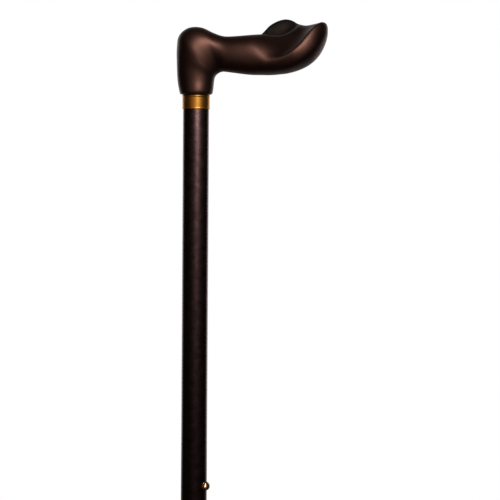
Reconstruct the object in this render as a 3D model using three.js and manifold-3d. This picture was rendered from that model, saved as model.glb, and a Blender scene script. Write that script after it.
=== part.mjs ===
// Quad walking cane with a palm-grip handle, in millimetres, +Z up.
// The origin is the centre of the four-foot base's footprint, on the floor.
// +X runs back along the handle, towards its tail, and -Y is the side nearest the user's leg.

import * as THREE from "three";
import { mergeVertices } from "three/addons/utils/BufferGeometryUtils.js";
import Module from "manifold-3d";

const wasm = await Module();
wasm.setup();

// ---- Driving dimensions -------------------------------------------------------------------

const GAP = 0.3; // between pieces that touch, so that no two solids overlap
const ROUND = 24; // sides of a large round piece
const SMALL_ROUND = 12; // sides of a bolt, button or washer

const SHAFT = new THREE.Vector2(-14, -17.5); // the shaft's axis on the floor

const COLLAR_BOTTOM = 685;
const COLLAR_HEIGHT = 11.9;
const COLLAR_RADIUS = 11.9;
const HANDLE_BASE = COLLAR_BOTTOM + COLLAR_HEIGHT + GAP;
const HANDLE_BORE_DEPTH = 38;
const HANDLE_SIZE = 0.957; // of the 132 mm long pattern that the handle's sections are drawn for

const UPPER_RADIUS = 11.1; // 22.2 mm tube
const LOWER_RADIUS = 9.525; // 19.05 mm tube
const TUBE_WALL = 1.2;
const UPPER_BOTTOM = 184;
const UPPER_TOP = HANDLE_BASE + HANDLE_BORE_DEPTH - 2 * GAP;
const LOWER_BOTTOM = 66;
const LOWER_TOP = 396;

const HOLE_PITCH = 25.4;
const HOLE_COUNT = 7;
const HOLE_RADIUS = 4.25;
const TOP_HOLE = 363.2;
const BUTTON_ANGLE = THREE.MathUtils.degToRad(-28); // from +X, towards the near side
const BUTTON_RADIUS = 3.9;
const BUTTON_PROUD = 3.9; // above the upper tube
const BUTTON_DOME = 3.4; // height of its round end

const THREAD_PITCH = 3;
const THREAD_ROOT = 12.4;
const THREAD_CREST = 13.2;
const THREAD_CLEARANCE = 0.3;
const THREAD_SIDES = 16;
const NUT_RADIUS = 16.2;
const NUT_BOTTOM = 158;
const NUT_HEIGHT = 24;

const COLUMN_RADIUS = 12.7;
const COLUMN_WALL = 1.5;
const COLUMN_BOTTOM = 58;
const COLUMN_TOP = 146;
const BOLT_HEIGHT = 128;
const BOLT_RADIUS = 2.5;

const FOOT_X = 88;
const FOOT_Y = 62;
const TIP_HEIGHT = 38;
const TIP_FOOT_RADIUS = 17;
const LEG_RADIUS = 7.95;
const LEG_WALL = 1.3;
const LEG_SIDES = 12;
const LEG_BOTTOM = 11.2;
const ANKLE_HEIGHT = 54;
const SHOULDER_X = 50;
const SHOULDER_HEIGHT = 104;
const LEG_BEND = 24;
const PLATE_THICKNESS = 3;

// ---- Materials ----------------------------------------------------------------------------

const material = (color, roughness, metalness) =>
  new THREE.MeshStandardMaterial({ color, roughness, metalness });
const HANDLE_PAINT = material(0x3a231c, 0.42, 0.5);
const TUBE_PAINT = material(0x17100f, 0.38, 0.6);
const STEEL_PAINT = material(0x1a1413, 0.5, 0.4);
const GOLD = material(0xc98a2b, 0.22, 1.0);
const BARE_ALUMINIUM = material(0xb9babd, 0.35, 1.0);
const ZINC_STEEL = material(0xa9abae, 0.3, 1.0);
const SPRING_STEEL = material(0x70757a, 0.35, 1.0);
const BLACK_PLASTIC = material(0x151415, 0.55, 0.0);
const NATURAL_PLASTIC = material(0xd8d5cb, 0.5, 0.0);
const RUBBER = material(0x1c1a19, 0.85, 0.0);

// ---- Geometry helpers ---------------------------------------------------------------------

// A closed BufferGeometry as a manifold-3d solid, for a boolean.
function solidOf(geometry) {
  const plain = geometry.clone();
  plain.deleteAttribute("normal");
  plain.deleteAttribute("uv");
  const merged = mergeVertices(plain, 1e-4);
  return new wasm.Manifold(
    new wasm.Mesh({
      numProp: 3,
      vertProperties: new Float32Array(merged.attributes.position.array),
      triVerts: new Uint32Array(merged.index.array),
    }),
  );
}

function geometryOf(solid) {
  const mesh = solid.getMesh();
  const geometry = new THREE.BufferGeometry();
  geometry.setAttribute("position", new THREE.BufferAttribute(mesh.vertProperties, 3));
  geometry.setIndex(new THREE.BufferAttribute(mesh.triVerts, 1));
  geometry.computeVertexNormals();
  return geometry;
}

const cut = (geometry, ...tools) =>
  geometryOf(tools.reduce((left, tool) => left.subtract(solidOf(tool)), solidOf(geometry)));
const join = (geometry, ...others) =>
  geometryOf(others.reduce((whole, other) => whole.add(solidOf(other)), solidOf(geometry)));

// A profile of [radius, height] pairs turned about the Z axis. It runs up the outside, and ends
// on the axis or where it began.
function turned(profile, sides = ROUND) {
  const points = profile.map(([radius, height]) => new THREE.Vector2(radius, height));
  return new THREE.LatheGeometry(points, sides).rotateX(Math.PI / 2);
}

const rod = (radius, bottom, top, sides = ROUND) =>
  turned([[0, bottom], [radius, bottom], [radius, top], [0, top]], sides);

const pipe = (outer, inner, bottom, top, sides = ROUND) =>
  turned([[inner, bottom], [outer, bottom], [outer, top], [inner, top], [inner, bottom]], sides);

// Turns a shape made along Z so that it points sideways from the shaft at an angle, at a height.
function pointedSideways(geometry, angle, height) {
  return geometry.rotateY(Math.PI / 2).rotateZ(angle).translate(0, 0, height);
}

// Closed rings of points, each of the same count, skinned one to the next and capped flat.
function skinned(rings) {
  const sides = rings[0].length;
  const positions = rings.flat().flatMap((point) => [point.x, point.y, point.z]);
  const index = [];
  for (let ring = 0; ring + 1 < rings.length; ring++) {
    for (let side = 0; side < sides; side++) {
      const a = ring * sides + side;
      const b = ring * sides + ((side + 1) % sides);
      index.push(a, b, a + sides, b, b + sides, a + sides);
    }
  }
  [0, rings.length - 1].forEach((ring) => {
    const centre = rings[ring]
      .reduce((sum, point) => sum.add(point), new THREE.Vector3())
      .divideScalar(sides);
    const middle = positions.length / 3;
    positions.push(centre.x, centre.y, centre.z);
    for (let side = 0; side < sides; side++) {
      const a = ring * sides + side;
      const b = ring * sides + ((side + 1) % sides);
      index.push(...(ring === 0 ? [middle, b, a] : [middle, a, b]));
    }
  });
  const geometry = new THREE.BufferGeometry();
  geometry.setAttribute("position", new THREE.Float32BufferAttribute(positions, 3));
  geometry.setIndex(index);
  geometry.computeVertexNormals();
  return geometry;
}

// A path of straight runs joined by arcs. Its samples stand close together only in the arcs.
class BentPath extends THREE.Curve {
  constructor(corners, bend, arcSteps) {
    super();
    const stations = [corners[0]];
    for (let i = 1; i + 1 < corners.length; i++) {
      const into = corners[i].clone().sub(corners[i - 1]).normalize();
      const out = corners[i + 1].clone().sub(corners[i]).normalize();
      const turn = into.angleTo(out);
      const setback = bend * Math.tan(turn / 2);
      const start = corners[i].clone().addScaledVector(into, -setback);
      const towards = out.clone().addScaledVector(into, -out.dot(into)).normalize();
      for (let step = 0; step <= arcSteps; step++) {
        const angle = (turn * step) / arcSteps;
        stations.push(
          start
            .clone()
            .addScaledVector(into, bend * Math.sin(angle))
            .addScaledVector(towards, bend * (1 - Math.cos(angle))),
        );
      }
    }
    stations.push(corners[corners.length - 1]);
    this.stations = stations;
  }
  get steps() {
    return this.stations.length - 1;
  }
  getPoint(t, target = new THREE.Vector3()) {
    const place = THREE.MathUtils.clamp(t, 0, 1) * this.steps;
    const first = Math.min(Math.floor(place), this.steps - 1);
    return target.lerpVectors(this.stations[first], this.stations[first + 1], place - first);
  }
  getPointAt(u, target) {
    return this.getPoint(u, target);
  }
  getTangent(t, target = new THREE.Vector3()) {
    const place = Math.round(THREE.MathUtils.clamp(t, 0, 1) * this.steps);
    const before = this.stations[Math.max(place - 1, 0)];
    const after = this.stations[Math.min(place + 1, this.steps)];
    const here = this.stations[place];
    const into = here.clone().sub(before).normalize();
    const out = after.clone().sub(here).normalize();
    return target.copy(into.add(out)).normalize();
  }
  getTangentAt(u, target) {
    return this.getTangent(u, target);
  }
  getSpacedPoints(divisions) {
    return Array.from({ length: divisions + 1 }, (_, i) => this.getPoint(i / divisions));
  }
}

// ---- Handle -------------------------------------------------------------------------------

// Each station is a closed section of twelve points. Seen from the tail they run from the keel,
// up the near side, over the crown and down the far side. u is the distance back from the
// shaft's axis, y the distance across, and h the height above the handle's base.
const station = (u, y, h) => new THREE.Vector3(u, y, h).multiplyScalar(HANDLE_SIZE);
const RAILS = 12;

// An oval section. inner and outer are its keel and crown distances from a centre, widest is
// where its half-width lies and aside moves it along y. The plane leans by lean from level (0)
// to upright (90 degrees).
function oval({ centre, lean, inner, outer, widest, half, aside = 0 }) {
  const angle = THREE.MathUtils.degToRad(lean);
  return Array.from({ length: RAILS }, (_, rail) => {
    const around = (2 * Math.PI * rail) / RAILS;
    const towardsKeel = Math.cos(around);
    const reach = towardsKeel > 0 ? widest - inner : outer - widest;
    const distance = widest - towardsKeel * reach;
    return station(
      centre[0] - distance * Math.cos(angle),
      aside - half * Math.sin(around),
      centre[1] + distance * Math.sin(angle),
    );
  });
}

const level = (h, keel, crown, half) =>
  oval({ centre: [0, h], lean: 0, inner: -keel, outer: crown, widest: 0, half });

// The knob is a fan of ovals about the inside of the bend between socket and grip.
const KNOB_CENTRE = [24.5, 12];
const fan = (lean, outer, widest, half, aside) =>
  oval({ centre: KNOB_CENTRE, lean, inner: 8.5, outer, widest, half, aside });

const upright = (u, points) => points.map(([y, h]) => station(u, y, h));

const HANDLE_STATIONS = [
  level(0, 12.3, 12.3, 12.3),
  level(0.8, 14.2, 14.2, 14.2),
  level(3.2, 15, 15, 15),
  fan(0, 41.1, 24.7, 14.5),
  fan(20, 44.6, 26.8, 15.1),
  fan(34, 50.7, 31.2, 16.9),
  fan(45, 57, 37.4, 17.8),
  fan(56, 57.2, 38.2, 17.3),
  fan(67, 52.1, 34.8, 15.6, -1.1),
  fan(78, 43.9, 28, 14.2, -3.1),
  fan(90, 40, 24.3, 13.6, -5),
  upright(36, [
    [-6, 19.1], [-13.9, 21.3], [-19.6, 27.3], [-21.4, 35.4], [-19.5, 44.2], [-13.8, 50.3],
    [-6, 52.3], [1.7, 50.3], [6.9, 44.2], [8.8, 35.4], [7, 27.3], [1.8, 21.3],
  ]),
  upright(49, [
    [-7.2, 17.7], [-15.7, 19.6], [-22, 25.2], [-24.2, 33.6], [-22.1, 43.7], [-15.7, 50.9],
    [-7.2, 53.4], [1.6, 51.8], [7.4, 46.7], [9.8, 36.9], [7.4, 26.4], [1.6, 19.9],
  ]),
  upright(60, [
    [-7.5, 17.6], [-17, 19.1], [-23.8, 23.4], [-26.6, 29.6], [-24, 37.9], [-17.2, 47.8],
    [-7.9, 53.9], [2, 52.7], [10, 56.9], [14.2, 51.2], [11.4, 35], [3.2, 21.6],
  ]),
  upright(65, [
    [-7.6, 17.6], [-17.3, 19], [-24.5, 23.5], [-27.5, 30.2], [-24.3, 36.8], [-16.8, 46.3],
    [-7.1, 53.4], [3.1, 51.6], [13.9, 62.5], [18.7, 56.2], [14.3, 37.6], [4.3, 22.5],
  ]),
  upright(70, [
    [-7.8, 17.9], [-17.9, 19.1], [-25.6, 23.8], [-28.7, 31.2], [-25, 36.4], [-16.5, 45.2],
    [-6.4, 52.9], [4.4, 51], [17.4, 65.9], [22.4, 59.6], [16.6, 39.8], [5.2, 23.6],
  ]),
  upright(75, [
    [-8.2, 18.4], [-18.6, 19.8], [-26.7, 24.9], [-30, 33], [-25.3, 36.8], [-16.1, 44.9],
    [-5.5, 53.3], [5.7, 51.6], [19.7, 68.1], [24.5, 61.4], [18.1, 41], [5.7, 24.8],
  ]),
  upright(80, [
    [-8.3, 19], [-19.3, 20.5], [-27.9, 26.1], [-31.1, 35.6], [-25.5, 38.4], [-15.5, 46.1],
    [-4.9, 54.9], [7.2, 53.6], [21.2, 68.9], [25.6, 62.4], [19.2, 42], [6, 26.2],
  ]),
  upright(86, [
    [-8.7, 20.4], [-20.2, 22.2], [-29.7, 28.4], [-31.9, 39.8], [-25.5, 42.2], [-14.8, 49.3],
    [-3.7, 58.3], [8.6, 58.3], [21, 67.5], [25, 61.2], [18.4, 42.6], [5.8, 27.4],
  ]),
  upright(91, [
    [-9, 22], [-20.6, 24], [-30.4, 30.8], [-31.4, 44.3], [-25.3, 46.4], [-14.2, 53.1],
    [-2.3, 61.5], [9.7, 62.7], [19.5, 64.1], [22.7, 58], [16.3, 42.8], [4.9, 29.2],
  ]),
  upright(98, [
    [-9.6, 25.2], [-21.2, 27.8], [-30.4, 36], [-29, 52.9], [-23.8, 54.6], [-13.4, 57.4],
    [-2.6, 61.1], [7.2, 62.5], [14.6, 61.7], [16.2, 56.3], [11.2, 44.1], [2.6, 32.8],
  ]),
  upright(105, [
    [-10.2, 30.3], [-20.3, 33.2], [-28.2, 42.4], [-25.4, 59.9], [-21.2, 61.7], [-13.3, 61.9],
    [-5.2, 63], [2.6, 63.6], [8, 61.5], [9, 56.2], [5.6, 46.4], [-0.4, 37.4],
  ]),
  upright(111, [
    [-11.3, 37.6], [-17.7, 40.6], [-23.4, 49], [-21.4, 62.3], [-18, 64.3], [-13.5, 64.8],
    [-8.9, 64.7], [-4, 64.3], [0, 61.6], [1, 56.6], [-1, 49], [-5.4, 42.2],
  ]),
  upright(115, [
    [-11.6, 46.6], [-14.9, 49], [-17.8, 54], [-16.6, 60.7], [-15, 62.9], [-12.9, 63.5],
    [-10.6, 63.4], [-8.2, 62.5], [-6.8, 60], [-6.6, 56], [-7.4, 52], [-9, 48.8],
  ]),
  upright(116.7, [
    [-11.3, 53.6], [-12.1, 54.1], [-12.8, 55.4], [-12.8, 57.3], [-12.4, 59], [-11.9, 59.7],
    [-11.2, 59.8], [-10.6, 59.5], [-10.1, 58.5], [-9.9, 56.7], [-10.1, 55.2], [-10.6, 54.2],
  ]),
];

const STATION_STEPS = 2; // rings from one station to the next
const SECTION_SIDES = 24;

function handleGeometry() {
  const rails = Array.from(
    { length: RAILS },
    (_, rail) =>
      new THREE.CatmullRomCurve3(HANDLE_STATIONS.map((section) => section[rail]), false, "centripetal"),
  );
  const ringCount = (HANDLE_STATIONS.length - 1) * STATION_STEPS;
  const rings = Array.from({ length: ringCount + 1 }, (_, ring) => {
    const section = rails.map((rail) => rail.getPoint(ring / ringCount));
    return new THREE.CatmullRomCurve3(section, true, "centripetal")
      .getPoints(SECTION_SIDES)
      .slice(0, SECTION_SIDES)
      .reverse();
  });
  const bore = rod(UPPER_RADIUS + GAP, -1, HANDLE_BORE_DEPTH);
  return cut(skinned(rings), bore);
}

// ---- Tubes --------------------------------------------------------------------------------

const sidewaysRod = (radius, reach, angle, height) =>
  pointedSideways(rod(radius, 0, reach, SMALL_ROUND), angle, height);

function upperTube() {
  const tube = pipe(UPPER_RADIUS, UPPER_RADIUS - TUBE_WALL, UPPER_BOTTOM, UPPER_TOP);
  const holes = Array.from({ length: HOLE_COUNT }, (_, hole) =>
    sidewaysRod(HOLE_RADIUS, UPPER_RADIUS + 2, BUTTON_ANGLE, TOP_HOLE - hole * HOLE_PITCH),
  );
  return cut(tube, ...holes);
}

// A hole right through a tube, along Y, for the column bolt.
const boltHole = () =>
  rod(BOLT_RADIUS + GAP, -20, 20, SMALL_ROUND)
    .rotateX(Math.PI / 2)
    .translate(0, 0, BOLT_HEIGHT);

function lowerTube() {
  const tube = pipe(LOWER_RADIUS, LOWER_RADIUS - TUBE_WALL, LOWER_BOTTOM, LOWER_TOP);
  return cut(tube, sidewaysRod(HOLE_RADIUS, LOWER_RADIUS + 2, BUTTON_ANGLE, TOP_HOLE), boltHole());
}

// The bush that centres the lower tube's top end in the upper tube.
function lowerTubeGlide() {
  const skirt = LOWER_RADIUS - TUBE_WALL - GAP;
  const lip = UPPER_RADIUS - TUBE_WALL - 0.15;
  return turned([
    [skirt - 1.6, LOWER_TOP - 12],
    [skirt, LOWER_TOP - 12],
    [skirt, LOWER_TOP + GAP],
    [lip, LOWER_TOP + GAP],
    [lip, LOWER_TOP + 5],
    [lip - 0.8, LOWER_TOP + 6],
    [skirt - 1.6, LOWER_TOP + 6],
    [skirt - 1.6, LOWER_TOP - 12],
  ]);
}

// The dowel glued into the upper tube's top end, inside the handle.
function tubeTopPlug() {
  const radius = UPPER_RADIUS - TUBE_WALL - GAP;
  return turned([
    [0, UPPER_TOP - 45],
    [radius - 1, UPPER_TOP - 45],
    [radius, UPPER_TOP - 44],
    [radius, UPPER_TOP],
    [0, UPPER_TOP],
  ]);
}

// The band under the handle: a plain ring with a rolled edge at top and bottom.
function handleCollar() {
  const inside = UPPER_RADIUS + GAP;
  const edge = COLLAR_RADIUS;
  const face = COLLAR_RADIUS - 0.25;
  const top = COLLAR_BOTTOM + COLLAR_HEIGHT;
  return turned([
    [inside, COLLAR_BOTTOM],
    [edge - 0.4, COLLAR_BOTTOM],
    [edge, COLLAR_BOTTOM + 0.5],
    [edge, COLLAR_BOTTOM + 1.1],
    [face, COLLAR_BOTTOM + 1.5],
    [face, top - 1.5],
    [edge, top - 1.1],
    [edge, top - 0.5],
    [edge - 0.4, top],
    [inside, top],
    [inside, COLLAR_BOTTOM],
  ]);
}

// ---- Height button ------------------------------------------------------------------------

const BUTTON_FLANGE = 5.4; // the flange's inner face, from the shaft's axis
const BUTTON_TIP = UPPER_RADIUS + BUTTON_PROUD;

function heightButton() {
  const shoulder = BUTTON_TIP - BUTTON_DOME;
  const dome = [30, 60].map((degrees) => {
    const angle = THREE.MathUtils.degToRad(degrees);
    return [BUTTON_RADIUS * Math.cos(angle), shoulder + BUTTON_DOME * Math.sin(angle)];
  });
  const profile = [
    [0, BUTTON_FLANGE],
    [4.7, BUTTON_FLANGE],
    [4.7, BUTTON_FLANGE + 0.8],
    [BUTTON_RADIUS, BUTTON_FLANGE + 1],
    [BUTTON_RADIUS, shoulder],
    ...dome,
    [0, BUTTON_TIP],
  ];
  return pointedSideways(turned(profile, SMALL_ROUND), BUTTON_ANGLE, TOP_HOLE);
}

// A folded leaf: its front leg carries the button and its back leg bears on the lower tube.
const LEAF_THICKNESS = 0.7;
const LEAF_WIDTH = 8;
const LEAF_LENGTH = 46;

function springClip() {
  const front = BUTTON_FLANGE - GAP - LEAF_THICKNESS / 2;
  const back = -(LOWER_RADIUS - TUBE_WALL) + 2;
  const fold = 2.2; // radius of the fold at the bottom
  const line = [new THREE.Vector2(front, 8), new THREE.Vector2(front, -8)];
  for (let step = 0; step <= 6; step++) {
    const angle = (Math.PI * step) / 6;
    line.push(
      new THREE.Vector2(fold * Math.cos(angle), -LEAF_LENGTH - fold * Math.sin(angle)),
    );
  }
  line.push(new THREE.Vector2(back, 10));
  const sideAt = (offset) =>
    line.map((point, i) => {
      const before = line[Math.max(i - 1, 0)];
      const after = line[Math.min(i + 1, line.length - 1)];
      const along = after.clone().sub(before).normalize();
      return new THREE.Vector2(point.x + along.y * offset, point.y - along.x * offset);
    });
  const outline = [...sideAt(LEAF_THICKNESS / 2), ...sideAt(-LEAF_THICKNESS / 2).reverse()];
  return new THREE.ExtrudeGeometry(new THREE.Shape(outline), {
    depth: LEAF_WIDTH,
    bevelEnabled: false,
  })
    .translate(0, 0, -LEAF_WIDTH / 2)
    .rotateX(Math.PI / 2)
    .rotateZ(BUTTON_ANGLE)
    .translate(0, 0, TOP_HOLE);
}

// ---- Lock on the upper tube's bottom end ----------------------------------------------------

// A helical ridge. grow widens it all round, which makes the nut's groove.
function threadRidge(bottom, turns, grow) {
  const steps = turns * THREAD_SIDES;
  const halfRoot = 0.85 + grow * 0.8;
  const halfCrest = 0.4 + grow * 0.8;
  const rings = Array.from({ length: steps + 1 }, (_, step) => {
    const angle = (2 * Math.PI * turns * step) / steps;
    const middle = bottom + (THREAD_PITCH * angle) / (2 * Math.PI);
    return [
      [THREAD_ROOT - 0.6, middle - halfRoot],
      [THREAD_CREST + grow, middle - halfCrest],
      [THREAD_CREST + grow, middle + halfCrest],
      [THREAD_ROOT - 0.6, middle + halfRoot],
    ].map(
      ([radius, height]) =>
        new THREE.Vector3(radius * Math.cos(angle), radius * Math.sin(angle), height),
    );
  });
  return skinned(rings.map((ring) => ring.reverse()));
}

const NUT_TOP = NUT_BOTTOM + NUT_HEIGHT;
const THREAD_BOTTOM = NUT_TOP - 9;
const CONE_MOUTH = 11.2;
const COLLET_BOTTOM = NUT_TOP - 12;

// Glued on the upper tube: a threaded skirt whose mouth is a cone around the grip ring.
function lockCollet() {
  const seat = UPPER_RADIUS + GAP;
  const guide = LOWER_RADIUS + 0.3;
  const shell = turned([
    [CONE_MOUTH, COLLET_BOTTOM],
    [THREAD_ROOT, COLLET_BOTTOM],
    [THREAD_ROOT, UPPER_BOTTOM + 1],
    [NUT_RADIUS - 1.8, UPPER_BOTTOM + 2],
    [NUT_RADIUS - 1.8, UPPER_BOTTOM + 6],
    [THREAD_CREST, UPPER_BOTTOM + 8],
    [THREAD_CREST, UPPER_BOTTOM + 18],
    [THREAD_CREST - 0.8, UPPER_BOTTOM + 19],
    [seat, UPPER_BOTTOM + 19],
    [seat, UPPER_BOTTOM - GAP],
    [guide, UPPER_BOTTOM - GAP],
    [guide, UPPER_BOTTOM - 6],
    [CONE_MOUTH, COLLET_BOTTOM],
  ]);
  return join(shell, threadRidge(THREAD_BOTTOM, 2.5, 0));
}

// A split wedge that the nut pushes up into the cone, where it closes on the lower tube.
function gripRing() {
  const bore = LOWER_RADIUS + 0.15;
  const bottom = NUT_BOTTOM + 5 + GAP;
  const ring = turned([
    [bore, bottom],
    [11.6, bottom],
    [11.6, bottom + 3],
    [10.9, bottom + 4],
    [10.4, bottom + 9.4],
    [bore, bottom + 9.4],
    [bore, bottom],
  ]);
  const slit = new THREE.BoxGeometry(6, 1.4, 14).translate(-11.5, 0, bottom + 5);
  return cut(ring, slit);
}

const NUT_FLUTES = 8;

function lockNut() {
  const body = turned([
    [LOWER_RADIUS + 0.6, NUT_BOTTOM],
    [NUT_RADIUS - 3, NUT_BOTTOM],
    [NUT_RADIUS - 0.8, NUT_BOTTOM + 3],
    [NUT_RADIUS, NUT_BOTTOM + 6],
    [NUT_RADIUS, NUT_TOP - 1.2],
    [NUT_RADIUS - 1.2, NUT_TOP],
    [THREAD_ROOT + THREAD_CLEARANCE, NUT_TOP],
    [THREAD_ROOT + THREAD_CLEARANCE, NUT_BOTTOM + 5],
    [LOWER_RADIUS + 0.6, NUT_BOTTOM + 5],
    [LOWER_RADIUS + 0.6, NUT_BOTTOM],
  ]);
  const flutes = Array.from({ length: NUT_FLUTES }, (_, flute) =>
    rod(3, NUT_BOTTOM + 5, NUT_TOP - 3, 8)
      .translate(NUT_RADIUS + 2, 0, 0)
      .rotateZ((2 * Math.PI * flute) / NUT_FLUTES),
  );
  const groove = threadRidge(THREAD_BOTTOM - THREAD_PITCH, 4.5, THREAD_CLEARANCE);
  return cut(body, groove, ...flutes);
}

// ---- Base ---------------------------------------------------------------------------------

function baseColumn() {
  const tube = pipe(COLUMN_RADIUS, COLUMN_RADIUS - COLUMN_WALL, COLUMN_BOTTOM, COLUMN_TOP);
  return cut(tube, boltHole());
}

// The liner between the column and the thinner lower tube, with a lip over the column's rim.
function columnSleeve() {
  const inside = LOWER_RADIUS + GAP;
  const outside = COLUMN_RADIUS - COLUMN_WALL - GAP;
  const sleeve = turned([
    [inside, COLUMN_BOTTOM + 5],
    [outside, COLUMN_BOTTOM + 5],
    [outside, COLUMN_TOP + GAP],
    [COLUMN_RADIUS + 0.6, COLUMN_TOP + GAP],
    [COLUMN_RADIUS + 0.6, COLUMN_TOP + 1.8],
    [COLUMN_RADIUS - 1, COLUMN_TOP + 3.6],
    [inside, COLUMN_TOP + 3.6],
    [inside, COLUMN_BOTTOM + 5],
  ]);
  return cut(sleeve, boltHole());
}

function columnCap() {
  const plug = COLUMN_RADIUS - COLUMN_WALL - GAP;
  return turned([
    [0, COLUMN_BOTTOM - 3.5],
    [COLUMN_RADIUS - 2, COLUMN_BOTTOM - 3.5],
    [COLUMN_RADIUS, COLUMN_BOTTOM - 2],
    [COLUMN_RADIUS, COLUMN_BOTTOM - GAP],
    [plug, COLUMN_BOTTOM - GAP],
    [plug, COLUMN_BOTTOM + 4],
    [0, COLUMN_BOTTOM + 4],
  ]);
}

// The fastener through the column runs along Y, with its head on the near side.
const alongY = (geometry) => geometry.rotateX(Math.PI / 2).translate(0, 0, BOLT_HEIGHT);
const WASHER_SEAT = COLUMN_RADIUS + GAP;
const WASHER_THICKNESS = 1.2;
const BOLT_HEAD_SEAT = WASHER_SEAT + WASHER_THICKNESS + GAP;

function columnBolt() {
  return alongY(
    turned(
      [
        [0, -BOLT_HEAD_SEAT - 9],
        [BOLT_RADIUS, -BOLT_HEAD_SEAT - 9],
        [BOLT_RADIUS, BOLT_HEAD_SEAT],
        [4.75, BOLT_HEAD_SEAT],
        [4.75, BOLT_HEAD_SEAT + 1],
        [3.6, BOLT_HEAD_SEAT + 2.4],
        [1.6, BOLT_HEAD_SEAT + 2.9],
        [1.6, BOLT_HEAD_SEAT + 1.2],
        [0, BOLT_HEAD_SEAT + 1.2],
      ],
      SMALL_ROUND,
    ),
  );
}

const boltWasher = (side) =>
  alongY(
    pipe(5.5, BOLT_RADIUS + GAP, WASHER_SEAT, WASHER_SEAT + WASHER_THICKNESS, SMALL_ROUND),
  ).rotateZ(side > 0 ? Math.PI : 0);

// A domed cap nut: a hexagon with a round end, bored blind.
function capNut() {
  const hexagon = rod(4.6, BOLT_HEAD_SEAT, BOLT_HEAD_SEAT + 4.5, 6);
  const dome = turned(
    [
      [0, BOLT_HEAD_SEAT + 4],
      [3.8, BOLT_HEAD_SEAT + 4],
      [3.8, BOLT_HEAD_SEAT + 7],
      [2.9, BOLT_HEAD_SEAT + 9.6],
      [1.4, BOLT_HEAD_SEAT + 10.8],
      [0, BOLT_HEAD_SEAT + 11],
    ],
    SMALL_ROUND,
  );
  const bore = rod(BOLT_RADIUS + GAP, BOLT_HEAD_SEAT - 1, BOLT_HEAD_SEAT + 9.5, SMALL_ROUND);
  return alongY(cut(join(hexagon, dome), bore)).rotateZ(Math.PI);
}

// One bent tube makes the front and back legs of one side. Its middle lies along the column.
function legArch(middleY, footY) {
  const corners = [
    [-FOOT_X, footY, LEG_BOTTOM],
    [-FOOT_X, footY, ANKLE_HEIGHT],
    [-SHOULDER_X, middleY, SHOULDER_HEIGHT],
    [SHOULDER_X, middleY, SHOULDER_HEIGHT],
    [FOOT_X, footY, ANKLE_HEIGHT],
    [FOOT_X, footY, LEG_BOTTOM],
  ].map((corner) => new THREE.Vector3(...corner));
  const path = new BentPath(corners, LEG_BEND, 4);
  const circle = (radius) =>
    Array.from({ length: LEG_SIDES }, (_, side) => {
      const angle = (2 * Math.PI * side) / LEG_SIDES;
      return new THREE.Vector2(radius * Math.cos(angle), radius * Math.sin(angle));
    });
  const section = new THREE.Shape(circle(LEG_RADIUS));
  section.holes.push(new THREE.Path(circle(LEG_RADIUS - LEG_WALL)));
  return new THREE.ExtrudeGeometry(section, { steps: path.steps, extrudePath: path });
}

// The flat plate under both arches ties them to the column, which passes through it.
const ARCH_OFFSET = COLUMN_RADIUS + LEG_RADIUS + GAP;

function tiePlate() {
  const halfX = 22;
  const halfY = ARCH_OFFSET + LEG_RADIUS;
  const corner = 8;
  const outline = new THREE.Shape();
  [
    [halfX - corner, halfY - corner, 0],
    [corner - halfX, halfY - corner, Math.PI / 2],
    [corner - halfX, corner - halfY, Math.PI],
    [halfX - corner, corner - halfY, 1.5 * Math.PI],
  ].forEach(([x, y, start]) => outline.absarc(x, y, corner, start, start + Math.PI / 2));
  const opening = new THREE.Path().absarc(0, 0, COLUMN_RADIUS + GAP + 0.1, 0, 2 * Math.PI, true);
  outline.holes.push(opening);
  return new THREE.ExtrudeGeometry(outline, {
    depth: PLATE_THICKNESS,
    bevelEnabled: false,
    curveSegments: 9,
  }).translate(0, 0, SHOULDER_HEIGHT - LEG_RADIUS - GAP - PLATE_THICKNESS);
}

// A ferrule with a wide ribbed foot, bored for the leg, and hollow underneath.
function rubberTip() {
  const bore = LEG_RADIUS + GAP;
  return turned(
    [
      [0, 1.6],
      [8, 1.6],
      [9, 0],
      [TIP_FOOT_RADIUS - 0.8, 0],
      [TIP_FOOT_RADIUS, 0.8],
      [TIP_FOOT_RADIUS, 5],
      [14.6, 9],
      [12.6, 14],
      [11.8, 20],
      [11.8, TIP_HEIGHT - 4],
      [12.4, TIP_HEIGHT - 3],
      [12.4, TIP_HEIGHT - 0.8],
      [11.6, TIP_HEIGHT],
      [bore, TIP_HEIGHT],
      [bore, 8],
      [0, 8],
    ],
    16,
  );
}

const tipWasher = () => rod(LEG_RADIUS - 0.1, 8 + GAP, 8 + GAP + 1.6, SMALL_ROUND);

// ---- Assembly -----------------------------------------------------------------------------

const cane = new THREE.Group();
const base = new THREE.Group();
const shaft = new THREE.Group();
shaft.position.set(SHAFT.x, SHAFT.y, 0);
cane.add(base, shaft);

function add(group, name, geometry, finish) {
  const mesh = new THREE.Mesh(geometry, finish);
  mesh.name = name;
  group.add(mesh);
  return mesh;
}

add(shaft, "handle", handleGeometry(), HANDLE_PAINT).position.z = HANDLE_BASE;
add(shaft, "handle_collar", handleCollar(), GOLD);
add(shaft, "tube_top_plug", tubeTopPlug(), NATURAL_PLASTIC);
add(shaft, "upper_tube", upperTube(), TUBE_PAINT);
add(shaft, "lock_collet", lockCollet(), BLACK_PLASTIC);
add(shaft, "grip_ring", gripRing(), NATURAL_PLASTIC);
add(shaft, "lock_nut", lockNut(), BLACK_PLASTIC);
add(shaft, "height_button", heightButton(), GOLD);
add(shaft, "button_spring_clip", springClip(), SPRING_STEEL);
add(shaft, "lower_tube_glide", lowerTubeGlide(), NATURAL_PLASTIC);
add(shaft, "lower_tube", lowerTube(), BARE_ALUMINIUM);
add(shaft, "column_sleeve", columnSleeve(), BLACK_PLASTIC);
add(shaft, "base_column", baseColumn(), STEEL_PAINT);
add(shaft, "column_cap", columnCap(), BLACK_PLASTIC);
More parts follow.
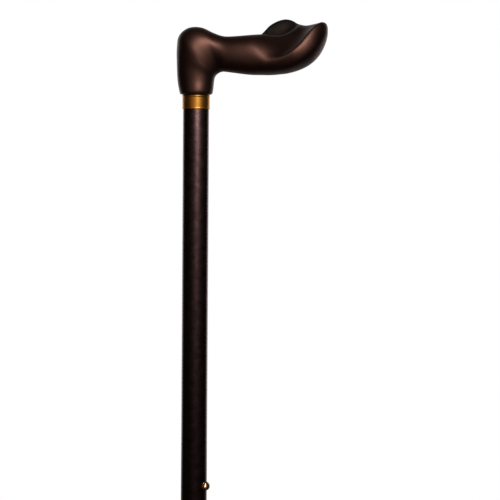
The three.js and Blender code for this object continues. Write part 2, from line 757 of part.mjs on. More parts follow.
add(shaft, "column_bolt", columnBolt(), ZINC_STEEL);
add(shaft, "column_bolt_washer", boltWasher(-1), ZINC_STEEL);
add(shaft, "column_nut_washer", boltWasher(1), ZINC_STEEL);
add(shaft, "column_cap_nut", capNut(), ZINC_STEEL);
add(shaft, "tie_plate", tiePlate(), STEEL_PAINT);

add(base, "leg_arch_near", legArch(SHAFT.y - ARCH_OFFSET, -FOOT_Y), STEEL_PAINT);
add(base, "leg_arch_far", legArch(SHAFT.y + ARCH_OFFSET, FOOT_Y), STEEL_PAINT);

for (const [end, x] of [["front", -FOOT_X], ["rear", FOOT_X]]) {
  for (const [side, y] of [["near", -FOOT_Y], ["far", FOOT_Y]]) {
    add(base, `rubber_tip_${end}_${side}`, rubberTip(), RUBBER).position.set(x, y, 0);
    add(base, `tip_washer_${end}_${side}`, tipWasher(), ZINC_STEEL).position.set(x, y, 0);
  }
}

export default cane;
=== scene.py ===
"""The looks of a quad walking cane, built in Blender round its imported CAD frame."""

import math

import bmesh
import bpy
from mathutils import Matrix, Vector


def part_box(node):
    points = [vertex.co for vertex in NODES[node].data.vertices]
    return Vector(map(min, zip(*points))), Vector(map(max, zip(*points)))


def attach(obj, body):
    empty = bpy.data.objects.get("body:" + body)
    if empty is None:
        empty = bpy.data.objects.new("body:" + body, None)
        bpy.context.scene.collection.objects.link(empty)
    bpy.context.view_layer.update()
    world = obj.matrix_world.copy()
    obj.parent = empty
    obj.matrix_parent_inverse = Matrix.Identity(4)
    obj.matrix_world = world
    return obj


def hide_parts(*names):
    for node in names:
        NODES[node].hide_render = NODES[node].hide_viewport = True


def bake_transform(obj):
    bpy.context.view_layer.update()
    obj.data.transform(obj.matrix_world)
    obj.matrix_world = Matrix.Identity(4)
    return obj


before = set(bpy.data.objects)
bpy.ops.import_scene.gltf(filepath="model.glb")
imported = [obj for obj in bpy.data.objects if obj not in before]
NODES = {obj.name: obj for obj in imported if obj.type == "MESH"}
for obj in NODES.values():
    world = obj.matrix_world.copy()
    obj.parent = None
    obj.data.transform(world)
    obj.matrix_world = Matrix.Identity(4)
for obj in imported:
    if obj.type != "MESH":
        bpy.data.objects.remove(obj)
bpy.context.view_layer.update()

MM = 0.001  # shapes below are in millimetres, as the CAD's are

# ---- Places, from the frame ----------------------------------------------------------------


def box_mm(node):
    """A CAD node's lowest and highest corner in millimetres."""
    low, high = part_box(node)
    return low / MM, high / MM


def middle(node):
    low, high = box_mm(node)
    return (low + high) / 2


def radius_of(node):
    low, high = box_mm(node)
    return (high.x - low.x) / 2


SHAFT = middle("upper_tube").xy.to_3d()
HANDLE_BASE = box_mm("handle")[0].z
UPPER_RADIUS = radius_of("upper_tube")
LOWER_RADIUS = radius_of("lower_tube")
TUBE_WALL = 1.2
GAP = 0.3
BUTTON_HEIGHT = middle("height_button").z
BUTTON_ANGLE = math.radians(-28)
HOLE_PITCH = 25.4
HOLE_COUNT = 7
HOLE_RADIUS = 4.25

# ---- Camera --------------------------------------------------------------------------------

VIEW_SPAN = 0.4271  # width of the picture at the shaft, in metres
VIEW_DISTANCE = 2.39
VIEW_ELEVATION = math.radians(2)
VIEW_ROLL = math.radians(0.379)
VIEW_AIM = SHAFT * MM + Vector((0.0468, 0, HANDLE_BASE * MM - 0.1321))


def add_camera():
    data = bpy.data.cameras.new("camera")
    data.lens = data.sensor_width * VIEW_DISTANCE / VIEW_SPAN
    data.clip_end = 50
    camera = bpy.data.objects.new("camera", data)
    bpy.context.scene.collection.objects.link(camera)
    back = Vector((0, -math.cos(VIEW_ELEVATION), math.sin(VIEW_ELEVATION)))
    turn = (-back).to_track_quat("-Z", "Y").to_matrix() @ Matrix.Rotation(VIEW_ROLL, 3, "Z")
    camera.matrix_world = Matrix.Translation(VIEW_AIM + back * VIEW_DISTANCE) @ turn.to_4x4()
    bpy.context.scene.camera = camera


add_camera()

# ---- Materials -----------------------------------------------------------------------------


class Look:
    """A Principled material whose sockets are fed by textures in the object's own space."""

    def __init__(self, name, metallic=0.0, **constants):
        self.material = bpy.data.materials.new(name)
        self.material.use_nodes = True
        self.tree = self.material.node_tree
        self.shader = self.tree.nodes["Principled BSDF"]
        self.shader.inputs["Metallic"].default_value = metallic
        for socket, value in constants.items():
            self.shader.inputs[socket.replace("_", " ")].default_value = value
        self.place = self.tree.nodes.new("ShaderNodeTexCoord").outputs["Object"]

    def link(self, source, target):
        self.tree.links.new(source, target)

    def stretched(self, scale):
        mapping = self.tree.nodes.new("ShaderNodeMapping")
        mapping.vector_type = "POINT"
        mapping.inputs["Scale"].default_value = scale
        self.link(self.place, mapping.inputs["Vector"])
        return mapping.outputs["Vector"]

    def noise(self, scale, detail=2.0, roughness=0.5, place=None):
        node = self.tree.nodes.new("ShaderNodeTexNoise")
        node.inputs["Scale"].default_value = scale
        node.inputs["Detail"].default_value = detail
        node.inputs["Roughness"].default_value = roughness
        self.link(place or self.place, node.inputs["Vector"])
        return node.outputs["Fac"]

    def cells(self, scale, output="Color"):
        node = self.tree.nodes.new("ShaderNodeTexVoronoi")
        node.inputs["Scale"].default_value = scale
        self.link(self.place, node.inputs["Vector"])
        return node.outputs[output]

    def grey(self, color):
        node = self.tree.nodes.new("ShaderNodeRGBToBW")
        self.link(color, node.inputs[0])
        return node.outputs[0]

    def ranged(self, value, low, high, out_low, out_high):
        node = self.tree.nodes.new("ShaderNodeMapRange")
        for socket, number in (
            ("From Min", low),
            ("From Max", high),
            ("To Min", out_low),
            ("To Max", out_high),
        ):
            node.inputs[socket].default_value = number
        self.link(value, node.inputs["Value"])
        return node.outputs["Result"]

    def maths(self, operation, a, b):
        node = self.tree.nodes.new("ShaderNodeMath")
        node.operation = operation
        for socket, value in zip(node.inputs, (a, b)):
            if isinstance(value, (int, float)):
                socket.default_value = value
            else:
                self.link(value, socket)
        return node.outputs[0]

    def ramp(self, value, *stops):
        """Colours along value. Each stop is (position, (r, g, b))."""
        node = self.tree.nodes.new("ShaderNodeValToRGB")
        elements = node.color_ramp.elements
        while len(elements) < len(stops):
            elements.new(0.5)
        for element, (position, colour) in zip(elements, stops):
            element.position = position
            element.color = (*colour, 1)
        self.link(value, node.inputs["Fac"])
        return node.outputs["Color"]

    def mixed(self, factor, a, b):
        node = self.tree.nodes.new("ShaderNodeMix")
        node.data_type = "RGBA"
        self.link(factor, node.inputs["Factor"])
        for socket, value in ((node.inputs[6], a), (node.inputs[7], b)):
            if isinstance(value, tuple):
                socket.default_value = (*value, 1)
            else:
                self.link(value, socket)
        return node.outputs[2]

    def edges(self, low, high):
        geometry = self.tree.nodes.new("ShaderNodeNewGeometry")
        return self.ranged(geometry.outputs["Pointiness"], low, high, 0, 1)

    def along(self, axis):
        split = self.tree.nodes.new("ShaderNodeSeparateXYZ")
        self.link(self.place, split.inputs[0])
        return split.outputs[axis]

    def color(self, source):
        self.link(source, self.shader.inputs["Base Color"])

    def roughness(self, source):
        self.link(source, self.shader.inputs["Roughness"])

    def bump(self, *layers):
        """Each layer is (height, strength, distance in metres)."""
        normal = None
        for height, strength, distance in layers:
            node = self.tree.nodes.new("ShaderNodeBump")
            node.inputs["Strength"].default_value = strength
            node.inputs["Distance"].default_value = distance
            self.link(height, node.inputs["Height"])
            if normal:
                self.link(normal, node.inputs["Normal"])
            normal = node.outputs["Normal"]
        self.link(normal, self.shader.inputs["Normal"])


PAINTED_SHADE_SPAN = (-0.03, -0.016)  # along Y, in metres, where the colour turns from copper to painted shade: a neutral grey-brown on the far half, standing in for shade and grey reflection


def bronze_paint():
    look = Look("bronze_paint", 1.0, Coat_Weight=0.25, Coat_Roughness=0.45)
    flake = look.grey(look.cells(2600))
    cloud = look.noise(26, 3)
    dark = look.ramp(cloud, (0.3, (0.098, 0.04, 0.027)), (0.7, (0.127, 0.053, 0.036)))
    copper = look.mixed(look.ranged(flake, 0.55, 1.0, 0, 0.5), dark, (0.205, 0.09, 0.062))
    sparkle = look.ranged(flake, 0.55, 1.0, 0, 0.5)
    # Painted shade and reflection: the far half gets a neutral grey-brown in place of copper,
    # standing in for the shade and grey sheen seen there
    painted_far_shade = look.mixed(sparkle, (0.09, 0.063, 0.049), (0.16, 0.112, 0.085))
    # far is the painted-shade mask: 0 on the near side, 1 on the far half
    far = look.ranged(look.along("Y"), *PAINTED_SHADE_SPAN, 0, 1)
    look.color(look.mixed(far, copper, painted_far_shade))
    blotch = look.ranged(look.noise(70, 4), 0.3, 0.7, -0.035, 0.035)
    look.roughness(look.maths("ADD", blotch, look.ranged(flake, 0, 1, 0.44, 0.5)))
    look.bump((look.noise(420, 2), 0.1, 0.0002), (flake, 0.06, 0.00005))
    return look.material


def tube_coat():
    look = Look("tube_coat", 1.0, Coat_Weight=0.04, Coat_Roughness=0.3)
    grit = look.noise(2300, 3, 0.6)
    dark = look.ramp(grit, (0.35, (0.08, 0.042, 0.04)), (0.7, (0.17, 0.09, 0.085)))
    look.color(dark)
    look.roughness(look.ranged(look.noise(180, 3), 0.3, 0.7, 0.22, 0.27))
    look.bump((grit, 0.24, 0.00008), (look.noise(620, 2), 0.08, 0.0002))
    return look.material


def polished_gold(name, color=(0.88, 0.42, 0.075), roughness=0.36):
    look = Look(name, 1.0)
    lines = look.noise(1, 3, place=look.stretched((60, 60, 9000)))
    tarnish = look.noise(120, 4)
    warm = tuple(c * f for c, f in zip(color, (0.82, 0.7, 0.55)))
    look.color(look.ramp(tarnish, (0.3, color), (0.8, warm)))
    spread = look.ranged(lines, 0.3, 0.7, roughness - 0.03, roughness + 0.07)
    look.roughness(look.maths("ADD", spread, look.ranged(tarnish, 0.4, 0.8, 0, 0.07)))
    look.bump((lines, 0.06, 0.00004), (look.noise(260, 2), 0.05, 0.0002))
    return look.material


def drawn_aluminium():
    look = Look("drawn_aluminium", 1.0)
    lines = look.noise(1, 4, place=look.stretched((5200, 5200, 18)))
    smear = look.noise(35, 4)
    look.color(look.ramp(smear, (0.3, (0.7, 0.7, 0.72)), (0.75, (0.56, 0.565, 0.59))))
    look.roughness(look.ranged(lines, 0.3, 0.7, 0.24, 0.42))
    look.bump((lines, 0.16, 0.00004))
    return look.material


def powder_coat():
    look = Look("powder_coat", 0.3, Coat_Weight=0.25, Coat_Roughness=0.22)
    peel = look.noise(760, 2)
    tone = look.ramp(
        look.noise(40, 4), (0.3, (0.022, 0.0145, 0.013)), (0.75, (0.034, 0.023, 0.02))
    )
    patchy = look.ranged(look.noise(900), 0.5, 0.6, 0, 0.6)
    bare = look.maths("MULTIPLY", look.edges(0.56, 0.66), patchy)
    look.color(look.mixed(bare, tone, (0.2, 0.18, 0.17)))
    look.roughness(look.ranged(look.noise(150, 4), 0.3, 0.7, 0.36, 0.52))
    look.bump((peel, 0.22, 0.00025), (look.noise(2600, 2), 0.12, 0.00006))
    return look.material


def zinc_plate(name="zinc_plate", tint=(0.6, 0.62, 0.66)):
    look = Look(name, 1.0)
    bloom = look.noise(300, 4)
    warm = tuple(c * f for c, f in zip(tint, (0.86, 0.82, 0.72)))
    look.color(look.ramp(bloom, (0.35, tint), (0.75, warm)))
    look.roughness(look.ranged(look.noise(700, 3), 0.3, 0.7, 0.22, 0.42))
    look.bump((look.noise(1500, 2), 0.1, 0.0001))
    return look.material


def moulded_plastic(name, dark, light, roughness):
    look = Look(name, 0.0, Specular_IOR_Level=0.45)
    grain = look.cells(1500, "Distance")
    look.color(look.ramp(look.noise(60, 4), (0.3, dark), (0.75, light)))
    spread = look.ranged(look.noise(400, 3), 0.3, 0.7, -0.07, 0.07)
    look.roughness(look.maths("ADD", spread, roughness))
    look.bump((grain, 0.14, 0.00012), (look.noise(90, 2), 0.08, 0.0004))
    return look.material


def rubber():
    look = Look("rubber", 0.0, Specular_IOR_Level=0.3)
    bloom = look.noise(130, 5, 0.65)
    black = look.ramp(bloom, (0.35, (0.013, 0.012, 0.0115)), (0.8, (0.034, 0.032, 0.03)))
    low = look.ranged(look.along("Z"), 0.0, 0.012, 1, 0)
    scuff = look.maths("MULTIPLY", low, look.ranged(look.noise(500, 5, 0.7), 0.42, 0.7, 0, 0.75))
    look.color(look.mixed(scuff, black, (0.13, 0.12, 0.105)))
    look.roughness(look.ranged(bloom, 0.3, 0.8, 0.62, 0.88))
    look.bump((look.noise(2200, 3), 0.25, 0.0001), (look.noise(240, 3), 0.12, 0.0004))
    return look.material


def pale_floor():
    look = Look("pale_floor", 0.0)
    look.color(look.ramp(look.noise(6, 4), (0.3, (0.82, 0.82, 0.82)), (0.7, (0.86, 0.86, 0.86))))
    look.roughness(look.ranged(look.noise(30, 3), 0.3, 0.7, 0.55, 0.7))
    return look.material


BRONZE = bronze_paint()
TUBE_COAT = tube_coat()
GOLD = polished_gold("polished_gold")
BRASS = polished_gold("button_brass", (0.76, 0.54, 0.3), 0.25)
ALUMINIUM = drawn_aluminium()
POWDER_COAT = powder_coat()
ZINC = zinc_plate()
SPRING_STEEL = zinc_plate("spring_steel", (0.36, 0.38, 0.41))
BLACK_PLASTIC = moulded_plastic("black_plastic", (0.016, 0.0155, 0.015), (0.03, 0.029, 0.028), 0.46)
NATURAL_PLASTIC = moulded_plastic("natural_plastic", (0.68, 0.66, 0.6), (0.76, 0.74, 0.69), 0.5)
RUBBER = rubber()

# ---- Mesh helpers --------------------------------------------------------------------------

SHARP_ANGLE = math.radians(38)


def piece(name, mesh, finish, body, slot, *nodes):
    """Makes an object of a mesh in millimetres, gives it its finish and puts it on a body."""
    mesh.transform(Matrix.Scale(MM, 4))
    mesh.polygons.foreach_set("use_smooth", [True] * len(mesh.polygons))
    mesh.set_sharp_from_angle(angle=SHARP_ANGLE)
    mesh.materials.clear()
    mesh.materials.append(finish)
    made = bpy.data.objects.new(name, mesh)
    bpy.context.scene.collection.objects.link(made)
    weighted = made.modifiers.new("weighted", "WEIGHTED_NORMAL")
    weighted.keep_sharp = True
    if body:
        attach(made, body)
    if nodes:
        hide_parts(*nodes)
    return made


def mesh_of(vertices, faces, name="mesh"):
    mesh = bpy.data.meshes.new(name)
    mesh.from_pydata([tuple(v) for v in vertices], [], faces)
    mesh.validate()
    return mesh


def skin(rings, looped=False):
    """Joins rings of points, each of the same count, into a closed surface."""
    sides = len(rings[0])
    vertices = [point for ring in rings for point in ring]
    count = len(rings)
    faces = []
    for a in range(count if looped else count - 1):
        b = (a + 1) % count
        for side in range(sides):
            after = (side + 1) % sides
            corners = ((a, side), (a, after), (b, after), (b, side))
            faces.append([ring * sides + place for ring, place in corners])
    if not looped:
        for ring, order in ((0, -1), (count - 1, 1)):
            centre = sum((Vector(p) for p in rings[ring]), Vector()) / sides
            vertices.append(centre)
            middle_index = len(vertices) - 1
            for side in range(sides):
                pair = [ring * sides + side, ring * sides + (side + 1) % sides]
                faces.append((*pair[::order], middle_index))
    return mesh_of(vertices, faces)


def rounded(corners, radius=0.4, steps=4, closed=True):
    """Corners of a profile with an arc at each. A corner is (r, z) or (r, z, its own radius)."""
    points = []
    count = len(corners)
    for i, corner in enumerate(corners):
        here = Vector(corner[:2])
        reach = corner[2] if len(corner) > 2 else radius
        at_end = not closed and i in (0, count - 1)
        if at_end or reach == 0 or here.x <= 0:
            points.append(here)
            continue
        into = here - Vector(corners[i - 1][:2])
        out = Vector(corners[(i + 1) % count][:2]) - here
        turn = into.angle(out)
        if turn < 0.02:
            points.append(here)
            continue
        setback = min(reach * math.tan(turn / 2), into.length * 0.49, out.length * 0.49)
        start = here - into.normalized() * setback
        end = here + out.normalized() * setback
        for step in range(steps + 1):
            t = step / steps
            points.append(start.lerp(here, t).lerp(here.lerp(end, t), t))
    return points


def finely(profile, step, closed=True):
    """Adds points until none is further than step from the next. An open profile loses its last."""
    points = []
    for here, after in zip(profile, profile[1:] + (profile[:1] if closed else [])):
        parts = max(1, math.ceil((after - here).length / step))
        points += [here.lerp(after, part / parts) for part in range(parts)]
    return points


def turned(profile, sides=96, relief=None):
    """A closed profile of (r, z) turned about Z. relief(angle, r, z) gives a new radius."""
    rings = []
    for r, z in profile:
        ring = []
        for side in range(sides):
            angle = 2 * math.pi * side / sides
            reach = relief(angle, r, z) if relief else r
            ring.append(Vector((reach * math.cos(angle), reach * math.sin(angle), z)))
        rings.append(ring)
    mesh = skin(rings, looped=True)
    return cleaned(mesh)


def cleaned(mesh, distance=1e-4):
    """Merges points that coincide, as on the axis, and turns all faces outwards."""
    work = bmesh.new()
    work.from_mesh(mesh)
    bmesh.ops.remove_doubles(work, verts=work.verts, dist=distance)
    bmesh.ops.dissolve_degenerate(work, edges=work.edges, dist=distance)
    bmesh.ops.recalc_face_normals(work, faces=work.faces)
    work.to_mesh(mesh)
    work.free()
    return mesh


def moved(mesh, matrix):
    mesh.transform(matrix)
    return mesh


def at_shaft(mesh, z=0):
    return moved(mesh, Matrix.Translation(SHAFT + Vector((0, 0, z))))


def rod(radius, bottom, top, sides=64, edge=0.0):
    corners = [(0, bottom), (radius, bottom), (radius, top), (0, top)]
    return turned(rounded(corners, edge), sides)


def combined(mesh, tool, operation):
    """The mesh after a boolean with one tool mesh."""
    target = bpy.data.objects.new("target", mesh)
    cutter = bpy.data.objects.new("cutter", tool)
    for thing in (target, cutter):
        bpy.context.scene.collection.objects.link(thing)
    modifier = target.modifiers.new("boolean", "BOOLEAN")
    modifier.operation = operation
    modifier.solver = "EXACT"
    modifier.object = cutter
    bpy.context.view_layer.update()
    graph = bpy.context.evaluated_depsgraph_get()
    result = bpy.data.meshes.new_from_object(target.evaluated_get(graph))
    for thing in (target, cutter):
        bpy.data.objects.remove(thing)
    return result


def cut(mesh, *tools):
    for tool in tools:
        mesh = combined(mesh, tool, "DIFFERENCE")
    return mesh


def bevelled(made, width, segments=2, angle=35):
    """A bevel on a piece's sharp edges, under its weighted normals."""
    bevel = made.modifiers.new("bevel", "BEVEL")
    bevel.width = width * MM
    bevel.segments = segments
    bevel.limit_method = "ANGLE"
    bevel.angle_limit = math.radians(angle)
    made.modifiers.move(len(made.modifiers) - 1, 0)
    return made


def bent_path(corners, bend, steps=12):
    """Points of straight runs joined by arcs of one radius."""
    points = [Vector(corners[0])]
    for before, here, after in zip(corners, corners[1:], corners[2:]):
        into = (Vector(here) - Vector(before)).normalized()
        out = (Vector(after) - Vector(here)).normalized()
        turn = into.angle(out)
        start = Vector(here) - into * bend * math.tan(turn / 2)
        inwards = (out - into * out.dot(into)).normalized()
        for step in range(steps + 1):
            angle = turn * step / steps
            along, across = bend * math.sin(angle), bend * (1 - math.cos(angle))
            points.append(start + into * along + inwards * across)
    points.append(Vector(corners[-1]))
    return points


def swept(points, radius, sides=40, looped=False):
    """A round bar along points. radius is a number, or a function of the point's number."""
    count = len(points)
    across = None
    rings = []
    for i, point in enumerate(points):
        before = points[i - 1] if looped or i else point
        after = points[(i + 1) % count] if looped or i + 1 < count else point
        along = (after - before).normalized()
        if across is None:
            across = along.orthogonal().normalized()
        across = (across - along * across.dot(along)).normalized()
        up = along.cross(across)
        reach = radius(i) if callable(radius) else radius
        rings.append(
            [
                point + (across * math.cos(angle) + up * math.sin(angle)) * reach
                for angle in (2 * math.pi * side / sides for side in range(sides))
            ]
        )
    return cleaned(skin(rings, looped=looped))


# ---- Handle --------------------------------------------------------------------------------

# Stations of the handle's closed sections, as in the CAD: u back from the shaft's axis, y across
# and h above the handle's base. The twelve points of each run from the keel up the near side,
# over the crown and down the far side.
RAILS = 12
KNOB_CENTRE = (24.5, 12)
HANDLE_SIZE = 0.957  # of the longer pattern that the sections are drawn for


def station(u, y, h):
    return Vector((u, y, h)) * HANDLE_SIZE


def oval(centre, lean, inner, outer, widest, half, aside=0):
    """A section whose plane leans about a centre, from level at 0 to upright at 90 degrees."""
    section = []
    for rail in range(RAILS):
        around = 2 * math.pi * rail / RAILS
        reach = widest - inner if math.cos(around) > 0 else outer - widest
        distance = widest - math.cos(around) * reach
        angle = math.radians(lean)
        section.append(
            station(
                centre[0] - distance * math.cos(angle),
                aside - half * math.sin(around),
                centre[1] + distance * math.sin(angle),
            )
        )
    return section


def level(h, radius):
    return oval((0, h), 0, -radius, radius, 0, radius)


def fan(lean, outer, widest, half, aside=0):
    return oval(KNOB_CENTRE, lean, 8.5, outer, widest, half, aside)


def upright(u, points):
    return [station(u, y, h) for y, h in points]


# fmt: off
HANDLE_STATIONS = [
    level(0, 12.3),
    level(0.8, 14.2),
    level(3.2, 15),
    fan(0, 41.1, 24.7, 14.5),
    fan(20, 44.6, 26.8, 15.1),
    fan(34, 50.7, 31.2, 16.9),
    fan(45, 57, 37.4, 17.8),
    fan(56, 57.2, 38.2, 17.3),
    fan(67, 52.1, 34.8, 15.6, -1.1),
    fan(78, 43.9, 28, 14.2, -3.1),
    fan(90, 40, 24.3, 13.6, -5),
    upright(36, [
        (-6, 19.1), (-13.9, 21.3), (-19.6, 27.3), (-21.4, 35.4), (-19.5, 44.2), (-13.8, 50.3),
        (-6, 52.3), (1.7, 50.3), (6.9, 44.2), (8.8, 35.4), (7, 27.3), (1.8, 21.3),
    ]),
    upright(49, [
        (-7.2, 17.7), (-15.7, 19.6), (-22, 25.2), (-24.2, 33.6), (-22.1, 43.7), (-15.7, 50.9),
        (-7.2, 53.4), (1.6, 51.8), (7.4, 46.7), (9.8, 36.9), (7.4, 26.4), (1.6, 19.9),
    ]),
    upright(60, [
        (-7.5, 17.6), (-17, 19.1), (-23.8, 23.4), (-26.6, 29.6), (-24, 37.9), (-17.2, 47.8),
        (-7.9, 53.9), (2, 52.7), (10, 56.9), (14.2, 51.2), (11.4, 35), (3.2, 21.6),
    ]),
    upright(65, [
        (-7.6, 17.6), (-17.3, 19), (-24.5, 23.5), (-27.5, 30.2), (-24.3, 36.8), (-16.8, 46.3),
        (-7.1, 53.4), (3.1, 51.6), (13.9, 62.5), (18.7, 56.2), (14.3, 37.6), (4.3, 22.5),
    ]),
    upright(70, [
        (-7.8, 17.9), (-17.9, 19.1), (-25.6, 23.8), (-28.7, 31.2), (-25, 36.4), (-16.5, 45.2),
        (-6.4, 52.9), (4.4, 51), (17.4, 65.9), (22.4, 59.6), (16.6, 39.8), (5.2, 23.6),
    ]),
    upright(75, [
        (-8.2, 18.4), (-18.6, 19.8), (-26.7, 24.9), (-30, 33), (-25.3, 36.8), (-16.1, 44.9),
        (-5.5, 53.3), (5.7, 51.6), (19.7, 68.1), (24.5, 61.4), (18.1, 41), (5.7, 24.8),
    ]),
    upright(80, [
        (-8.3, 19), (-19.3, 20.5), (-27.9, 26.1), (-31.1, 35.6), (-25.5, 38.4), (-15.5, 46.1),
        (-4.9, 54.9), (7.2, 53.6), (21.2, 68.9), (25.6, 62.4), (19.2, 42), (6, 26.2),
    ]),
    upright(86, [
        (-8.7, 20.4), (-20.2, 22.2), (-29.7, 28.4), (-31.9, 39.8), (-25.5, 42.2), (-14.8, 49.3),
        (-3.7, 58.3), (8.6, 58.3), (21, 67.5), (25, 61.2), (18.4, 42.6), (5.8, 27.4),
    ]),
    upright(91, [
        (-9, 22), (-20.6, 24), (-30.4, 30.8), (-31.4, 44.3), (-25.3, 46.4), (-14.2, 53.1),
        (-2.3, 61.5), (9.7, 62.7), (19.5, 64.1), (22.7, 58), (16.3, 42.8), (4.9, 29.2),
    ]),
    upright(98, [
        (-9.6, 25.2), (-21.2, 27.8), (-30.4, 36), (-29, 52.9), (-23.8, 54.6), (-13.4, 57.4),
        (-2.6, 61.1), (7.2, 62.5), (14.6, 61.7), (16.2, 56.3), (11.2, 44.1), (2.6, 32.8),
    ]),
    upright(105, [
        (-10.2, 30.3), (-20.3, 33.2), (-28.2, 42.4), (-25.4, 59.9), (-21.2, 61.7), (-13.3, 61.9),
        (-5.2, 63), (2.6, 63.6), (8, 61.5), (9, 56.2), (5.6, 46.4), (-0.4, 37.4),
    ]),
    upright(111, [
        (-11.3, 37.6), (-17.7, 40.6), (-23.4, 49), (-21.4, 62.3), (-18, 64.3), (-13.5, 64.8),
        (-8.9, 64.7), (-4, 64.3), (0, 61.6), (1, 56.6), (-1, 49), (-5.4, 42.2),
    ]),
    upright(115, [
        (-11.6, 46.6), (-14.9, 49), (-17.8, 54), (-16.6, 60.7), (-15, 62.9), (-12.9, 63.5),
        (-10.6, 63.4), (-8.2, 62.5), (-6.8, 60), (-6.6, 56), (-7.4, 52), (-9, 48.8),
    ]),
    upright(116.7, [
        (-11.3, 53.6), (-12.1, 54.1), (-12.8, 55.4), (-12.8, 57.3), (-12.4, 59), (-11.9, 59.7),
        (-11.2, 59.8), (-10.6, 59.5), (-10.1, 58.5), (-9.9, 56.7), (-10.1, 55.2), (-10.6, 54.2),
    ]),
]
# fmt: on

STATION_STEPS = 6
SECTION_SIDES = 84
BORE_DEPTH = 38
SMOOTHING_ROUNDS = 3


def curve_point(points, t, closed=False):
    """A point of the centripetal Catmull-Rom curve through points, for t from 0 to 1."""
    count = len(points)
    place = (count if closed else count - 1) * t
    first = int(place) if closed else min(int(place), count - 2)
    share = place - first

    def at(i):
        if closed:
            return points[i % count]
        if i < 0:
            return points[0] * 2 - points[1]
        if i >= count:
            return points[-1] * 2 - points[-2]
        return points[i]

    a, b, c, d = (at(first + step) for step in (-1, 0, 1, 2))
    ab, bc, cd = (max(math.sqrt((q - p).length), 1e-4) for p, q in ((a, b), (b, c), (c, d)))
    leave = ((b - a) / ab - (c - a) / (ab + bc) + (c - b) / bc) * bc
    arrive = ((c - b) / bc - (d - b) / (bc + cd) + (d - c) / cd) * bc
    square = share * share
    cube = square * share
    return (
        b * (2 * cube - 3 * square + 1)
        + leave * (cube - 2 * square + share)
        + c * (3 * square - 2 * cube)
        + arrive * (cube - square)
    )


def handle_mesh():
    last = (len(HANDLE_STATIONS) - 1) * STATION_STEPS
    bore = UPPER_RADIUS + GAP
    inside = [
        [
            Vector((bore * math.cos(angle), -bore * math.sin(angle), h))
            for angle in (2 * math.pi * side / SECTION_SIDES for side in range(SECTION_SIDES))
        ]
        for h in (BORE_DEPTH, 0)
    ]
    stations = [
        [curve_point(rail, i / last) for rail in zip(*HANDLE_STATIONS)] for i in range(last + 1)
    ]
    rings = inside + [
        [curve_point(section, side / SECTION_SIDES, True) for side in range(SECTION_SIDES)]
        for section in stations
    ]
    mesh = cleaned(skin(rings))
    work = bmesh.new()
    work.from_mesh(mesh)
    outside = [
        v
        for v in work.verts
        if v.co.z > 4 and v.co.xy.length > bore + 0.1 or v.co.z > BORE_DEPTH + 1
    ]
    for _ in range(SMOOTHING_ROUNDS):
        bmesh.ops.smooth_vert(
            work, verts=outside, factor=0.5, use_axis_x=True, use_axis_y=True, use_axis_z=True
        )
    work.to_mesh(mesh)
    work.free()
    return at_shaft(mesh, HANDLE_BASE)


HANDLE_PIECE = piece("handle_shell", handle_mesh(), BRONZE, "upper", "handle_paint", "handle")

# ---- Collar and tubes ----------------------------------------------------------------------


def collar_mesh():
    low, high = box_mm("handle_collar")
    bottom, top = low.z, high.z
    edge = radius_of("handle_collar")
    face = edge - 0.3
    inside = UPPER_RADIUS + 0.1
    corners = [
        (inside, bottom),
        (edge - 0.3, bottom, 0.2),
        (edge, bottom + 0.55, 0.5),
        (edge - 0.1, bottom + 1.2, 0.3),
        (face, bottom + 1.6, 0.3),
        (face, top - 1.6, 0.3),
        (edge - 0.1, top - 1.2, 0.3),
        (edge, top - 0.55, 0.5),
        (edge - 0.3, top, 0.2),
        (inside, top),
    ]
    return at_shaft(turned(rounded(corners, 0.2), 128))


def pipe_profile(outer, inner, bottom, top, edge=0.35):
    return rounded([(inner, bottom), (outer, bottom), (outer, top), (inner, top)], edge)


def sideways(mesh, angle, z):
    turn = Matrix.Rotation(angle, 4, "Z") @ Matrix.Rotation(math.pi / 2, 4, "Y")
    return moved(mesh, Matrix.Translation(SHAFT + Vector((0, 0, z))) @ turn)


def hole_tool(z):
    return sideways(rod(HOLE_RADIUS, 2, UPPER_RADIUS + 3, 48), BUTTON_ANGLE, z)


def upper_tube_mesh():
    low, high = box_mm("upper_tube")
    profile = pipe_profile(UPPER_RADIUS, UPPER_RADIUS - TUBE_WALL, low.z, high.z)
    holes = [hole_tool(BUTTON_HEIGHT - hole * HOLE_PITCH) for hole in range(HOLE_COUNT)]
    return cut(at_shaft(turned(profile, 128)), *holes)


def lower_tube_mesh():
    low, high = box_mm("lower_tube")
    profile = pipe_profile(LOWER_RADIUS, LOWER_RADIUS - TUBE_WALL, low.z, high.z)
    return cut(at_shaft(turned(profile, 112)), hole_tool(BUTTON_HEIGHT))


COLLAR_PIECE = piece("collar_band", collar_mesh(), GOLD, "upper", "gold", "handle_collar")
TUBE_PIECE = piece(
    "upper_tube_shell", upper_tube_mesh(), TUBE_COAT, "upper", "upper_tube_coat", "upper_tube"
)
bevelled(TUBE_PIECE, 0.18)
lower_tube = piece(
    "lower_tube_shell", lower_tube_mesh(), ALUMINIUM, "base", "bare_aluminium", "lower_tube"
)
bevelled(lower_tube, 0.15)

# ---- Button and its spring -----------------------------------------------------------------

BUTTON_RADIUS = 3.9
BUTTON_PROUD = 3.9  # above the upper tube
BUTTON_TIP = UPPER_RADIUS + BUTTON_PROUD
BUTTON_DOME = 3.35
BUTTON_FLANGE = 5.4
LEAF_THICKNESS = 0.7
LEAF_WIDTH = 8
LEAF_LENGTH = 46
LEAF_FOLD = 2.2


